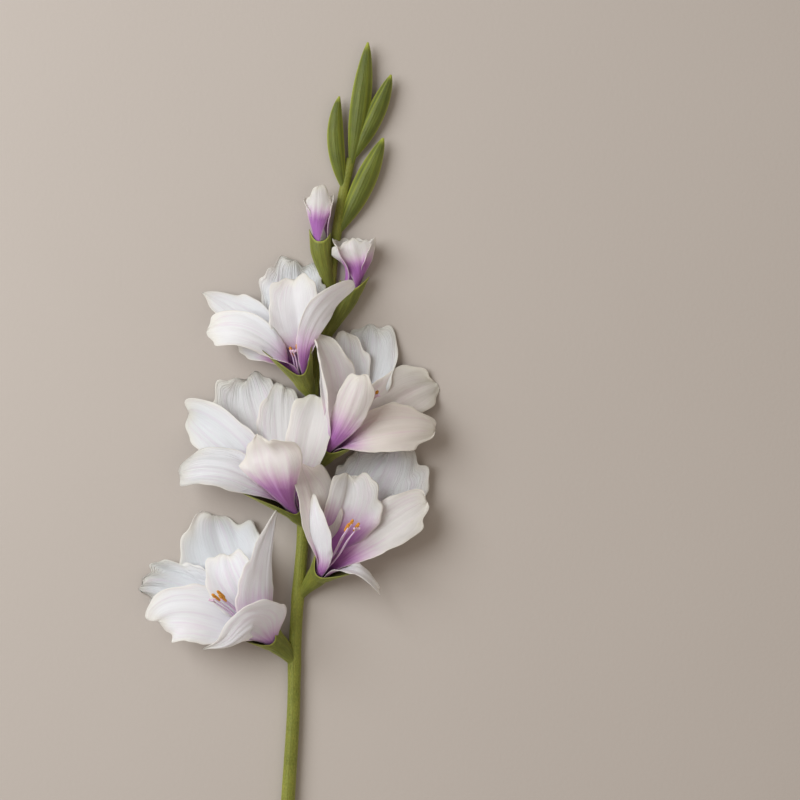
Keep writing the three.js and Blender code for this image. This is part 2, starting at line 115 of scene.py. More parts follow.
FLAT_TIP = (0, 0)
# Each tepal's setting after blush is the strength of its painted shade, highest on the tepals that lie
# in shade.
FLOWERS = {
    "flower_1": SimpleNamespace(
        throat=(-7, 213, 10), axis=(-33, 27, 30), anthers=(-36, 31, 30),
        bract=cup_of((5, 198, 4), 8, (22, 1), (22, 4)),
        tepals=[
            tepal(310, (-42, 62, -12), (-41, 82, -9), (0, -3, 9), (29, 27), ruffle=2.2, waves=4),
            tepal(10, (-30, 42, 20), (-32, 60, 12), (-1, -2, 9), (19, 16), (30, 30), (10, 10)),
            tepal(70, (-10, 46, 32), (1, 85, 12), (-7, 1, -7), (9, 22), flare=FLAT_TIP,
                  widest_at=0.5, pointed=True, blush=0.5, ruffle=0.8),
            tepal(130, (0, 42, 54), (-44, -14, 26), (-3, 6, -7), (19, 25), (20, 30),
                  widest_at=0.42, pointed=True, blush=0.3, ruffle=2, curl=30),
            tepal(190, (-60, 33, 20), (-78, 13, 12), (1, 2, 9), (19, 19), blush=0.3, ruffle=1.6),
            tepal(250, (-66, 40, -6), (-87, 36, -9), (3, 0, 9), (20, 20), ruffle=3, waves=9,
                  pleats=1),
        ],
    ),
    "flower_2": SimpleNamespace(
        throat=(20, 257, 11), axis=(24, 29, 38), anthers=(23, 32, 30),
        bract=cup_of((7.5, 243, 4), 8, (22, 2), (25, 6)),
        tepals=[
            tepal(340, (20, 50, 20), (20, 67, 16), (2, -2, 9), (12, 25), flare=(5, 0), blush=0.66,
                  cream=0.4, ruffle=2),
            tepal(40, (47, 62, -10), (49, 84, -8), (-2, -3, 9), (28, 31), ruffle=2.4, waves=6,
                  pleats=1),
            tepal(100, (50, 39, 14), (70, 48, 6), (-2, 2, 9), (15, 16), flare=FLAT_TIP, blush=0.5,
                  cream=0.6, ruffle=2.4),
            tepal(160, (26, 8, 28), (42, -9, 12), (5, 7, 4), (9, 9), flare=FLAT_TIP, blush=0.35),
            tepal(220, (0, 30, 34), (-4, 51, 28), (6, 2, -7), (10, 11), (15, 15), blush=0.4),
            tepal(280, (1, 50, 26), (-10, 73, 22), (5, -1, 8), (13, 17), flare=FLAT_TIP, blush=0.42,
                  cream=0.8),
        ],
    ),
    "flower_3": SimpleNamespace(
        throat=(6, 298, 11), axis=(-23, 38, 34), anthers=(-9, 23, 16),
        bract=cup_of((11, 288, 4), 4, (38, 11), (14, 3)),
        tepals=[
            tepal(330, (-32, 68, -8), (-32, 88, -10), (1, -4, 9), (30, 21), (4, 20), FLAT_TIP,
                  cream=0.4, ruffle=(0.8, 2.6), waves=6, pleats=0.8),
            tepal(30, (-10, 62, 0), (-8, 80, -4), (-2, -3, 9), (18, 15), (20, 4), (5, 0),
                  cream=0.5, ruffle=(2.4, 0.5), pleats=0.8),
            tepal(90, (12, 50, 8), (12, 77, 4), (-3, -1, 9), (15, 16), widest_at=0.7, cream=0.6,
                  ruffle=1.8),
            tepal(150, (-14, 20, 56), (-19, 49, 38), (1, 7, -6), (22, 23), (35, 35), (10, 10),
                  widest_at=0.85, blush=0.68, cream=0.7, ruffle=2, waves=4, curl=-40),
            tepal(210, (-44, 42, 28), (-75, 25, 10), (1, 5, 8), (17, 15), flare=FLAT_TIP,
                  widest_at=0.72, ruffle=2.4, pleats=1),
            tepal(270, (-50, 58, 2), (-75, 64, -9), (2, -2, 9), (16, 16), (25, 25), blush=0.5),
        ],
    ),
    "flower_4": SimpleNamespace(
        throat=(25, 336, 10), axis=(25, 33, 34), anthers=(30, 37, 28),
        bract=cup_of((12.5, 322, 4), 8, (18, 0), (24, 4)),
        tepals=[
            tepal(350, (14, 58, 2), (12, 76, 0), (2, -2, 9), (16, 17), ruffle=1.6),
            tepal(50, (34, 62, -8), (28, 84, -9), (-1, -3, 9), (16, 19), ruffle=2.2, pleats=0.7),
            tepal(110, (50, 42, 4), (71, 45, -9), (-2, -1, 9), (18, 18), flare=FLAT_TIP, cream=0.9,
                  ruffle=2.6),
            tepal(170, (46, 18, 28), (69, 14, 8), (0, 3, 9), (18, 14), flare=FLAT_TIP, cream=1,
                  ruffle=2),
            tepal(230, (18, 30, 42), (24, 51, 32), (2, 3, -9), (12, 11), (25, 25), blush=0.56,
                  cream=0.7),
            tepal(290, (12, 45, 20), (-6, 74, 16), (5, 0, 8), (18, 17), (90, 20), (90, 5),
                  cream=0.5, ruffle=1),
        ],
    ),
    "flower_5": SimpleNamespace(
        throat=(10, 384, 10), axis=(-11, 39, 32), anthers=(-4, 17, 14),
        bract=cup_of((17, 371, 4), 9, (33, 9), (28, 2)),
        tepals=[
            tepal(10, (-8, 60, -6), (-6, 77, -7), (0, -3, 9), (22, 21), ruffle=2.6, waves=6,
                  pleats=1),
            tepal(70, (-6, 46, 20), (-4, 66, 14), (-1, -3, 9), (18, 18), (25, 25), (10, 10),
                  cream=0.4),
            tepal(130, (6, 46, 42), (34, 58, 20), (-3, 6, -7), (10, 12), flare=FLAT_TIP,
                  widest_at=0.76, blush=0.5),
            tepal(190, (-34, 42, 26), (-63, 30, 12), (1, 3, 9), (13, 12), (15, 15), FLAT_TIP,
                  widest_at=0.72, ruffle=2.2),
            tepal(250, (-26, 22, 4), (-44, 24, -4), (0, 4, 9), (10, 10), (15, 15), FLAT_TIP,
                  blush=0.62),
            tepal(310, (-40, 47, 0), (-66, 56, -8), (1, -2, 9), (14, 13), (15, 15), FLAT_TIP,
                  pointed=True, ruffle=1.8),
        ],
    ),
}

# The two buds that have begun to open
# The furled tepals carry painted shade as well.
FURLED = dict(cup=(50, 50), flare=(40, 40), ruffle=0.8, waves=4, blush=0.62, cream=0.6)
OPENING_BUDS = {
    "bud_1": SimpleNamespace(
        throat=(40, 438, 8), axis=(10, 40, 5),
        bract=cup_of((25, 412, 4), 5, (8, 1), (15, 2), 0.01),
        tepals=[
            tepal(60, (10, 26, 0), (13, 36, 0), (-8, 0, 5), (13, 13), **FURLED),
            tepal(180, (3, 26, 12), (2, 35, 11), (0, 0, -9), (16, 16), widest_at=0.75, **FURLED),
            tepal(300, (-6, 28, 0), (-9, 36, 0), (8, 0, 5), (13, 13), **FURLED),
        ],
    ),
    "bud_2": SimpleNamespace(
        throat=(21.5, 467, 9), axis=(-2, 40, 4),
        bract=cup_of((28, 440, 4), 6, (14, 0), (11, 0), 0),
        tepals=[
            tepal(60, (5, 26, -1), (8, 36, -1), (-8, 0, 5), (9, 9), **FURLED),
            tepal(180, (0, 26, 9), (-1, 41, 8), (0, 0, -9), (9, 9), **FURLED),
            tepal(300, (-6, 26, -1), (-10, 35, -1), (8, 0, 5), (9, 9), **FURLED),
        ],
    ),
}

# The closed buds, from the stem's centreline through the middle to the tip. fold is the side that
# the outer leaf's free edge lies on, -1 left and 1 right.
CLOSED_BUDS = {
    "closed_bud_1": dict(at=[(34, 480, 4), (50, 512, 6), (62, 540, 7)], width=14, depth=9, fold=-1),
    "closed_bud_2": dict(at=[(36.5, 506, 4), (31, 539, 6), (33.5, 567, 7)], width=11, depth=8, fold=1),
    "closed_bud_3": dict(at=[(41.5, 526, 4), (57, 556, 6), (67, 581, 7)], width=12, depth=8, fold=-1),
    "closed_bud_4": dict(at=[(41, 522, 4), (47.5, 565, 6), (52, 602, 7)], width=13, depth=9, fold=1),
}


# Small geometry helpers, on arrays of points


def unit(vectors):
    vectors = np.asarray(vectors, dtype=float)
    return vectors / np.linalg.norm(vectors, axis=-1, keepdims=True)


def lerp(a, b, share):
    return a + (b - a) * share


def smoothstep(x, low, high):
    share = np.clip((x - low) / (high - low), 0, 1)
    return share * share * (3 - 2 * share)


def square_to(axis, wanted):
    """Two directions square to an axis: the first as near as can be to the wanted one."""
    first = unit(wanted - axis * np.sum(wanted * axis, axis=-1, keepdims=True))
    return first, np.cross(first, axis)


def bezier(controls, u):
    """Points and unit tangents of a Bezier curve at each u."""
    rows = np.asarray(controls, dtype=float)
    u = np.asarray(u, dtype=float)[..., None, None]
    rows = np.broadcast_to(rows, u.shape[:-2] + rows.shape)
    while rows.shape[-2] > 2:
        rows = lerp(rows[..., :-1, :], rows[..., 1:, :], u)
    ends = rows[..., 0, :], rows[..., 1, :]
    return lerp(*ends, u[..., 0]), unit(ends[1] - ends[0])


def smooth_line(points, count):
    """Points and unit tangents at even steps along a smooth line, and where each lies between the
    given points."""
    points = np.asarray(points, dtype=float)
    reached = np.concatenate([[0], np.cumsum(np.linalg.norm(np.diff(points, axis=0), axis=1))])
    slopes = np.gradient(points, reached, axis=0)
    along = np.linspace(0, reached[-1], count)
    before = np.clip(np.searchsorted(reached, along, side="right") - 1, 0, len(points) - 2)
    span = (reached[before + 1] - reached[before])[:, None]
    share = (along - reached[before])[:, None] / span
    from_start = 1 - 3 * share**2 + 2 * share**3
    line = (
        points[before] * from_start
        + points[before + 1] * (1 - from_start)
        + slopes[before] * span * (share - 2 * share**2 + share**3)
        + slopes[before + 1] * span * (share**3 - share**2)
    )
    return line, unit(np.gradient(line, axis=0)), np.interp(along, reached, range(len(points)))


# Meshes


def grid_faces(rows, columns, start=0, closed=False):
    """Quads between neighbouring rows of points; closed joins each row's last point to its first."""
    faces = []
    for i in range(rows - 1):
        for k in range(columns if closed else columns - 1):
            after = (k + 1) % columns
            a, b = start + i * columns + k, start + i * columns + after
            faces.append((a, b, b + columns, a + columns))
    return faces


def add_piece(name, points, faces, material, slot, node, uv=None, **attributes):
    """A smooth mesh from points in the plant's own place. uv and the attributes hold one value or
    pair for each point."""
    mesh = bpy.data.meshes.new(name)
    mesh.from_pydata((np.asarray(points) * MM + PLANT_ORIGIN).tolist(), [], faces)
    mesh.shade_smooth()
    for key, values in attributes.items():
        layer = mesh.attributes.new(key, "FLOAT", "POINT")
        layer.data.foreach_set("value", np.asarray(values, dtype=np.float32).ravel())
    if uv is not None:
        corners = np.empty(len(mesh.loops), dtype=np.int32)
        mesh.loops.foreach_get("vertex_index", corners)
        layer = mesh.uv_layers.new(name="blade")
        layer.data.foreach_set("uv", np.asarray(uv, dtype=np.float32)[corners].ravel())
    mesh.materials.append(material)
    piece = bpy.data.objects.new(name, mesh)
    bpy.context.collection.objects.link(piece)
    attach(piece, "root")
    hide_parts(node)
    return piece


def tube(line, along, radii, sides):
    """Rings of points round a line, as rows x sides x 3, and each point's turn round the ring."""
    turn = np.linspace(0, 2 * np.pi, sides, endpoint=False)
    first, second = square_to(along, UP)
    radii = np.asarray(radii, dtype=float)[:, None, None]
    ring = first[:, None] * np.cos(turn)[:, None] - second[:, None] * np.sin(turn)[:, None]
    return line[:, None] + ring * radii, turn


def capped(rings):
    """Points and faces of a closed solid through rings of points, with a fan at each end."""
    rows, sides, _ = rings.shape
    points = np.concatenate([rings.reshape(-1, 3), [rings[0].mean(axis=0)], [rings[-1].mean(axis=0)]])
    faces = grid_faces(rows, sides, closed=True)
    first_middle, last_middle = rows * sides, rows * sides + 1
    last_row = (rows - 1) * sides
    for k in range(sides):
        after = (k + 1) % sides
        faces.append((first_middle, after, k))
        faces.append((last_middle, last_row + k, last_row + after))
    return points, faces


# Tepals


def width_share(u, base_share, widest_at, pointed):
    """A tepal's width along its length, as a share of the widest."""
    fall, bulge = (1.3, 1) if pointed else (2.6, 0.5)
    blunt = 0.998
    grown = lerp(base_share, 1, smoothstep(u, 0.02, widest_at))
    past = np.maximum(0, (u - widest_at) / (1 - widest_at)) * blunt
    return grown * (1 - past**fall) ** bulge


def tepal_surface(flower, part, seed):
    """The middle of a tepal's sheet, as rows x columns x 3, and how near its margin each point is."""
    s = np.linspace(0, 1, TEPAL_STEPS + 1)
    u = (1.3 * s - 0.3 * s**2)[:, None]  # closer together towards the tip
    v = np.linspace(-1, 1, TEPAL_COLUMNS + 1)[None, :]
    axis = unit(flower.axis)
    up, right = square_to(axis, UP_THE_STEM)
    out = up * math.cos(math.radians(part.slot)) + right * math.sin(math.radians(part.slot))
    start = out * RING_RADIUS
    midrib, along = bezier([start, start + axis * TUBE_REACH, part.bow, part.tip], u[:, 0])
    looks = lerp(-out, unit(part.face), smoothstep(u, 0, 0.5))
    inward, _ = square_to(along, looks)
    side = np.cross(along, inward)

    left = v < 0
    wide = np.where(left, *part.wide)
    cupped = lerp(RING_HALF_ANGLE, np.where(left, *part.cup), smoothstep(u, 0, 0.45))
    bend = np.radians(lerp(cupped, np.where(left, *part.flare), smoothstep(u, 0.45, 1)))
    bend = np.maximum(bend, 1e-3)
    base_share = RING_RADIUS * math.radians(RING_HALF_ANGLE) / wide

    length = np.linalg.norm(np.diff(midrib, axis=0), axis=1).sum()
    plain_width = wide * width_share(u, base_share, part.widest_at, part.pointed)
    round_the_blade = np.arctan2(v * plain_width, (u - FAN_CENTRE) * length)
    margin = 1 - (1 - np.abs(v)) * (1 - smoothstep(u, 0.6, 1))
    free = smoothstep(u, 0.3, 0.75)
    phase = PHASE_STEP * seed
    notches = np.sin(2.3 * part.waves * round_the_blade + phase)
    notches = notches + 0.6 * np.sin(5.1 * part.waves * round_the_blade + 2 * phase)
    uneven = NOTCH_DEPTH * free * notches

    width = plain_width * (1 + uneven)
    turn = bend * v
    rise = width * (1 - np.cos(turn)) / bend
    waves = np.sin(part.waves * round_the_blade + phase)
    waves = waves + 0.45 * np.sin(2.3 * part.waves * round_the_blade + 1.7 * phase)
    ruffle = np.where(left, *np.broadcast_to(part.ruffle, 2))
    rise = rise + ruffle * free * margin**2 * waves
    folds = np.sin(5.3 * v + phase) + 0.5 * np.sin(11 * v + 2.1 * phase)
    rise = rise + wide / FOLD_RATIO * smoothstep(u, 0.25, 0.6) * (1 - 0.4 * margin) * folds
    groove = smoothstep(u, 0.15, 0.4) * (1 - smoothstep(u, 0.75, 1)) * np.exp(-((v / 0.1) ** 2))
    rise = rise - wide / GROOVE_RATIO * groove
    across = width * np.sin(turn) / bend
    ahead = uneven * (u - FAN_CENTRE) * length
    points = (
        midrib[:, None]
        + along[:, None] * ahead[..., None]
        + side[:, None] * across[..., None]
        + inward[:, None] * rise[..., None]
    )
    if part.curl:
        points = curled(points, midrib, along, inward, side, u[:, 0], part.curl)
    return points, u + 0 * v, v + 0 * u, margin


def curled(points, midrib, along, inward, side, u, degrees):
    """The last fifth of a blade rolled towards its face."""
    start = np.searchsorted(u, 0.8)
    pivot, roll = midrib[start], side[start]
    angle = math.radians(degrees) * smoothstep(u[start:], 0.8, 1)[:, None, None]
    arm = points[start:] - pivot
    points[start:] = (
        pivot
        + arm * np.cos(angle)
        + np.cross(roll, arm) * np.sin(angle)
        + roll * (arm @ roll)[..., None] * (1 - np.cos(angle))
    )
    return points


def off_the_table(points):
    """The same points, with those near the table or below it eased up to lie on it."""
    height = (points[..., 2] - LEAST_HEIGHT) / TABLE_SOFTNESS
    points[..., 2] = LEAST_HEIGHT + TABLE_SOFTNESS * np.logaddexp(0, height)
    return points


def add_tepal(name, flower, part, seed):
    local, u, v, margin = tepal_surface(flower, part, seed)
    middle = off_the_table(local + flower.throat)
    normal = np.cross(np.gradient(middle, axis=0), np.gradient(middle, axis=1))
    normal = unit(normal + 1e-9)
    half = TEPAL_THICK / 2 * (1 - THIN_MARGIN * margin**4)
    sheet = [middle + normal * half[..., None], middle - normal * half[..., None]]
    rows, columns = TEPAL_STEPS + 1, TEPAL_COLUMNS + 1
    count = rows * columns
    faces = [face[::-1] for face in grid_faces(rows, columns)]
    faces += grid_faces(rows, columns, start=count)
    rim = list(range(columns))
    rim += [i * columns + columns - 1 for i in range(1, rows)]
    rim += [(rows - 1) * columns + k for k in range(columns - 2, -1, -1)]
    rim += [i * columns for i in range(rows - 2, 0, -1)]
    for a, b in zip(rim, rim[1:] + rim[:1]):
        faces.append((a, b, b + count, a + count))

    def both(values):
        return np.concatenate([values.ravel(), values.ravel()])

    blush = 1 - smoothstep(u, part.blush - 0.32, part.blush + 0.12)
    return add_piece(
        name,
        np.concatenate([side.reshape(-1, 3) for side in sheet]),
        faces,
        PETAL,
        "tepal",
        name,
        uv=np.stack([both(u) + seed, both(v)], axis=1),
        blush=both(blush),
        margin=both(margin),
        # how much painted shade lies over this tepal, one value for all of it
        cream=np.full(2 * count, part.cream),
        pleats=np.full(2 * count, part.pleats),
    )


# Bracts, stem, closed buds and stamens


def add_bract(name, flower):
    """A cup that grows from the stem round the throat and ends in a left and a right lobe. Between
    them the rim dips to the notch, towards the viewer and away from them."""
    bract = flower.bract
    axis = unit(flower.axis)
    throat = np.array(flower.throat, dtype=float)
    controls = [bract.foot, throat - 6 * axis, throat + BRACT_NECK * axis]
    line, _ = bezier(controls, np.linspace(0, 1, 200))
    foot_length = np.linalg.norm(np.diff(line, axis=0), axis=1).sum() - BRACT_NECK
    front, _ = square_to(axis, UP)
    turn = np.linspace(0, 2 * np.pi, BRACT_SIDES, endpoint=False)[None, :]
    sideways = np.abs(np.sin(turn))
    length = np.where(np.sin(turn) > 0, bract.right[0], bract.left[0])
    lean = np.where(np.sin(turn) > 0, bract.right[1], bract.left[1])
    rim = lerp(bract.notch, length, sideways**LOBE_TAPER)

    def wall(share, thinner, floor):
        reach = lerp(-foot_length + floor, rim, share[:, None])
        t = np.minimum(1, (reach + foot_length) / (foot_length + BRACT_NECK))
        middle, along = bezier(controls, t)
        middle = middle + axis * np.maximum(0, reach - BRACT_NECK)[..., None]
        swell = smoothstep(reach, -foot_length, 0)
        tip = np.clip((reach - rim + 6) / 6, 0, 1) ** 2
        radius = lerp(BRACT_FOOT_RADIUS, BRACT_RADIUS, swell) - thinner * (1 - THIN_MARGIN * tip)
        radius = radius * (1 + bract.open * np.maximum(0, reach))
        leaned = lean * np.maximum(0, reach) * sideways / length
        ring_front, ring_left = square_to(along, front)
        height = (np.cos(turn) * radius)[..., None]
        width = (np.sin(turn) * (radius + leaned))[..., None]
        return middle + ring_front * height - ring_left * width, share[:, None] + 0 * turn

    share = np.linspace(0, 1, BRACT_STEPS + 1)
    outer, outer_share = wall(share, 0, 0)
    inner, inner_share = wall(share[::-1], BRACT_THICK, foot_length - BRACT_FLOOR)
    rings = np.concatenate([outer, inner])
    rings[..., 2] = np.maximum(rings[..., 2], GREEN_CLEARANCE)
    points, faces = capped(rings)
    keel = sideways**24 + 0 * outer_share
    pale = np.maximum(smoothstep(outer_share, 0.95, 1), 0.6 * keel * smoothstep(outer_share, 0.3, 1))
    ends = [0, 0]
    # The inner wall and its end cap are marked for painted shade.
    inside = np.concatenate([np.zeros(outer_share.size), np.ones(inner_share.size), [0, 1]])
    around = np.concatenate([(turn + 0 * outer_share).ravel(), (turn + 0 * inner_share).ravel(), ends])
    lengthwise = np.concatenate([outer_share.ravel(), inner_share.ravel(), ends])
    return add_piece(
        name,
        points,
        faces,
        BRACT_GREEN,
        "bract",
        name,
        uv=np.stack([lengthwise, around / np.pi], axis=1),
        pale=np.concatenate([pale.ravel(), 0 * pale.ravel(), ends]),
        inside=inside,
    )


def add_stem():
    """The stem from its cut end to the top bud, faintly ribbed and swollen at each joint."""
    line, along, place = smooth_line(STEM, STEM_STEPS)
    radius = np.interp(place, range(len(STEM)), [point[2] for point in STEM])
    joints = [flower.bract.foot[1] for flower in (*FLOWERS.values(), *OPENING_BUDS.values())]
    joints += [bud["at"][0][1] for bud in CLOSED_BUDS.values()]
    swell = sum(np.exp(-(((line[:, 1] - at) / JOINT_REACH) ** 2)) for at in joints)
    rings, turn = tube(line, along, radius, STEM_SIDES)
    ribs = 1 + 0.018 * np.cos(RIBS * turn)[None, :] + 0.07 * np.minimum(swell, 1)[:, None]
    rings = line[:, None] + (rings - line[:, None]) * ribs[..., None]
    rings[..., 2] = np.maximum(rings[..., 2], STEM_CLEARANCE)
    cut_rings = [
        lerp(rings[0], line[0], share) + along[0] * depth
        for share, depth in [(0.1, 0.2), (0.3, 0.5), (0.55, 0.35)]
    ]
    rings = np.concatenate([cut_rings, rings])
    points, faces = capped(rings)
    lengthwise = np.concatenate([np.zeros(3), line[:, 1] / 100])[:, None] + 0 * turn
    around = turn[None, :] / np.pi + 0 * lengthwise
    is_cut = np.concatenate([np.ones(3), [0.6], np.zeros(STEM_STEPS - 1)])[:, None] + 0 * turn
    return add_piece(
        "stem",
        points,
        faces,
        STEM_GREEN,
        "stalk",
        "stem",
        uv=np.stack([np.append(lengthwise, [0, 6]), np.append(around, [0, 0])], axis=1),
        pale=np.append(0 * lengthwise, [0, 0]),
        inside=np.append(0 * lengthwise, [0, 0]),
        cut=np.append(is_cut, [1, 0]),
    )


def add_closed_bud(name, at, width, depth, fold):
    """A pod of folded leaves: a keel on each side, and the outer leaf's free edge as a low step that
    runs beside one keel from the foot to the tip."""
    through = np.array(at, dtype=float)
    through[1] = 2 * through[1] - 0.5 * (through[0] + through[2])
    u = np.linspace(0, 1, POD_STEPS + 1)
    line, along = bezier(through, u)
    places = np.linspace(0, 1, len(POD_PROFILE))
    profile, _, _ = smooth_line(np.column_stack([places, POD_PROFILE, 0 * places]), 400)
    fullness = np.interp(u, profile[:, 0], profile[:, 1])
    turn = np.linspace(0, 2 * np.pi, POD_SIDES, endpoint=False)
    first, second = square_to(along, UP)
    across = np.sin(turn)[None, :]
    lens = np.sign(np.cos(turn)) * np.abs(np.cos(turn)) ** 1.35
    edge_at = fold * lerp(0.62, 0.4, u)[:, None]
    beyond = smoothstep((across - edge_at) * fold * width, 0, 0.9) * (np.cos(turn) > -0.1)[None, :]
    step = 0.55 * (1 - beyond) * smoothstep(u, 0.06, 0.25)[:, None]
    height = depth / 2 * lens[None, :] + np.sign(lens)[None, :] * step * np.abs(lens)
    height = height * fullness[:, None]
    sideways = width / 2 * across * fullness[:, None]
    rings = line[:, None] + first[:, None] * height[..., None] - second[:, None] * sideways[..., None]
    rings[..., 2] = np.maximum(rings[..., 2], GREEN_CLEARANCE)
    points, faces = capped(rings)
    near_edge = np.exp(-(((across - edge_at) * width / 1.1) ** 2)) * (np.cos(turn) > 0)[None, :]
    pale = np.maximum(0.45 * near_edge, np.abs(across) ** 10)
    pale = np.maximum(pale, smoothstep(u, 0.9, 1)[:, None])
    lengthwise = u[:, None] + 0 * across
    around = turn[None, :] / np.pi + 0 * lengthwise
    return add_piece(
        name,
        points,
        faces,
        BUD_GREEN,
        "bud",
        name,
        uv=np.stack([np.append(lengthwise, [0, 1]), np.append(around, [0, 0])], axis=1),
        pale=np.append(pale, [0, 1]),
        inside=np.append(0 * pale, [0, 0]),
    )


def add_stamens(name, flower):
    """Three stamens with long anthers and a style with a split tip, on one small disc."""
    axis = unit(flower.axis)
    throat = np.array(flower.throat, dtype=float)
    up, right = square_to(axis, UP_THE_STEM)
    points, faces, pollen = [], [], []

    def add_solid(rings, value):
        own_points, own_faces = capped(rings)
        start = sum(len(part) for part in points)
        points.append(own_points + throat)
        faces.extend(tuple(start + k for k in face) for face in own_faces)
        pollen.append(np.full(len(own_points), value))

    disc_line = np.outer(np.linspace(-1, 1, 5), axis)
    add_solid(tube(disc_line, np.tile(axis, (5, 1)), [1.6, 2.4, 2.6, 2.4, 1.2], 24)[0], 0)
    for i, (across, rise) in enumerate(STALKS):
        foot = (right * across + up * rise) * 0.4
        head = np.array(flower.anthers, dtype=float) + right * across + up * rise
        bent = lerp(foot, head, 0.5) - up * 2
        line, along, _ = smooth_line([foot, bent, lerp(foot, head, 0.8), head], 40)
        is_style = i == len(STALKS) - 1
        thick = 0.45 + 0.1 * np.linspace(1, 0, 40)
        add_solid(tube(line, along, thick, 12)[0], 0)
        if is_style:
            for spread in (-1, 0, 1):
                end = head + along[-1] * 4 + right * spread * 2.2
                lobe, lobe_along, _ = smooth_line([head - along[-1], head + along[-1] * 1.5, end], 14)
                add_solid(tube(lobe, lobe_along, 0.35 + 0.5 * np.linspace(0, 1, 14) ** 2, 12)[0], 0.15)
            continue
        spine = np.linspace(0, 1, 26)
        anther_from, anther_to = head - along[-1] * 5, head + along[-1] * 3 + up * 0.6
        lifted = unit(np.cross(along[-1], right)) * 0.9
        anther, anther_along, _ = smooth_line(
            [anther_from + lifted, head + lifted * 1.3, anther_to + lifted], len(spine)
        )
        fat = 1.1 * np.sqrt(np.clip(1 - (2 * spine - 1) ** 4, 0.02, 1))
        rings, turn = tube(anther, anther_along, fat, 20)
        groove = 1 - 0.28 * np.exp(-((np.cos(turn) - 1) ** 2) * 18)[None, :, None]
        add_solid(anther[:, None] + (rings - anther[:, None]) * groove, 1)
    return add_piece(
        name, np.concatenate(points), faces, POLLEN, "stamen", name, pollen=np.concatenate(pollen)
    )


# Materials


def rgb(red, green, blue):
    """A screen colour, 0 to 255, as the linear colour that nodes take."""
    screen = np.array([red, green, blue]) / 255
    return (*np.where(screen <= 0.04045, screen / 12.92, ((screen + 0.055) / 1.055) ** 2.4), 1)


class Paint:
    """A node material that is built step by step."""

    def __init__(self, name):
        self.material = bpy.data.materials.new(name)
        self.material.use_nodes = True
        self.tree = self.material.node_tree
        self.tree.nodes.clear()

    def add(self, kind, settings=None, **inputs):
        """A node; an input is a value or another node's output, named as in Blender with _ for a
        space, or by its number after i."""
        node = self.tree.nodes.new(kind)
        for key, value in (settings or {}).items():
            setattr(node, key, value)
        for key, value in inputs.items():
            numbered = key[0] == "i" and key[1:].isdigit()
            socket = node.inputs[int(key[1:]) if numbered else key.replace("_", " ")]
            if isinstance(value, bpy.types.NodeSocket):
                self.tree.links.new(value, socket)
            else:
                socket.default_value = value
        return node

    def attribute(self, name):
        return self.add("ShaderNodeAttribute", dict(attribute_name=name)).outputs["Fac"]

    def math(self, operation, a, b=0.0, c=0.0):
        return self.add("ShaderNodeMath", dict(operation=operation), i0=a, i1=b, i2=c).outputs[0]

    def mix(self, share, a, b, blend="MIX"):
        settings = dict(data_type="RGBA", blend_type=blend)
        return self.add("ShaderNodeMix", settings, i0=share, i6=a, i7=b).outputs[2]

    def ramp(self, share, stops):
        node = self.add("ShaderNodeValToRGB", i0=share)
        elements = node.color_ramp.elements
        while len(elements) < len(stops):
            elements.new(1)
        for element, (place, colour) in zip(elements, stops):
            element.position = place
            element.color = colour
        return node.outputs[0]

    def cloud(self, scale, detail=3):
        """Soft noise over the object itself; scale is in patches a metre."""
        place = self.add("ShaderNodeTexCoord").outputs["Object"]
        return self.add("ShaderNodeTexNoise", Vector=place, Scale=scale, Detail=detail).outputs[0]

    def streaks(self, lengthwise, across, detail=3):
        """Noise drawn out along the blade: how many patches lie along it, and how many across."""
        place = self.add("ShaderNodeUVMap", dict(uv_map="blade")).outputs[0]
        drawn = self.add("ShaderNodeMapping", Vector=place, Scale=(lengthwise, across, 1)).outputs[0]
        noise = dict(noise_dimensions="2D")
        return self.add("ShaderNodeTexNoise", noise, Vector=drawn, Scale=1, Detail=detail).outputs[0]

    def finish(self, colour, roughness, height, depth, **constant):
        bump = self.add("ShaderNodeBump", Height=height, Distance=depth, Strength=1).outputs[0]
        shader = self.add(
            "ShaderNodeBsdfPrincipled", Base_Color=colour, Roughness=roughness, Normal=bump, **constant
        )
        self.add("ShaderNodeOutputMaterial", Surface=shader.outputs[0])
        return self.material


